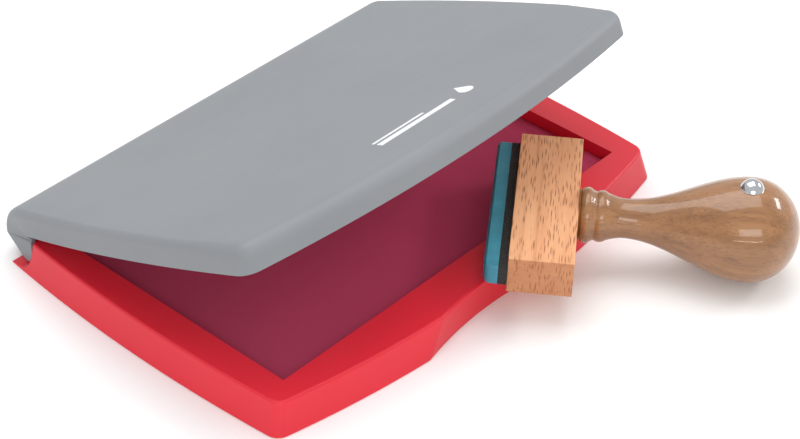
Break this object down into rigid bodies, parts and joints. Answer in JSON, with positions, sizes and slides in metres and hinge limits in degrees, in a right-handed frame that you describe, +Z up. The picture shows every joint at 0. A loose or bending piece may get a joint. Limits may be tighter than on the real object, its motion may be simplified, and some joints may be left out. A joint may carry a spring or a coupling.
{
  "type": "hinged stamp pad with hand stamp",
  "caption": "Flat hinged-lid stamp pad with an ink pad in a bowed plastic case, and a wooden hand stamp with a turned handle lying on its front rim.",
  "frame": {"origin": "on the underside of the case, under the centre of the ink pad", "axes": "+Z up, -Z out of the underside; +X along the hinge, to the right seen from the front; +Y towards the hinge"},
  "size_m": [0.1296, 0.1408, 0.0459],
  "materials": {
    "case_red": "smooth, semi-gloss moulding",
    "plate_red": "fine matte underside",
    "carrier_plastic": "matte",
    "felt_ink": "ink-soaked wool felt",
    "cover_fabric": "fine plain weave, damp with ink",
    "lid_grey": "fine satin grain",
    "liner_plastic": "smooth matte",
    "seal_soft": "soft matte",
    "pin_steel": "drawn wire",
    "beech_block": "bare sanded beech with dark flecks",
    "foam_black": "fine open-cell foam",
    "die_rubber": "smooth blue-green rubber",
    "relief_rubber": "inked rubber",
    "handle_beech": "turned and clear lacquered beech",
    "screw_steel": "zinc plated",
    "stud_chrome": "polished"
  },
  "bodies": {
    "base": {"case": "case_red", "base_plate": "plate_red", "pad_carrier": "carrier_plastic", "felt_core": "felt_ink", "pad_cover": "cover_fabric"},
    "lid": {"lid_shell": "lid_grey", "lid_liner": "liner_plastic", "seal_lip": "seal_soft", "hinge_pin_left": "pin_steel", "hinge_pin_right": "pin_steel"},
    "hand_stamp": {"stamp_block": "beech_block", "foam_cushion": "foam_black", "die_base": "die_rubber", "die_relief": "relief_rubber", "handle": "handle_beech", "handle_screw": "screw_steel", "locating_stud": "stud_chrome"}
  },
  "joints": [
    {"name": "lid_hinge", "type": "hinge", "parent": "base", "child": "lid", "pos_m": [0, 0.0426, 0.0042], "axis": [-1, 0, 0], "range_deg": [-14, 39]},
    {"name": "stamp_pull", "type": "slide", "parent": "base", "child": "hand_stamp", "axis": [0.5603, -0.7544, 0.342], "range_m": [0, 0.09]}
  ]
}
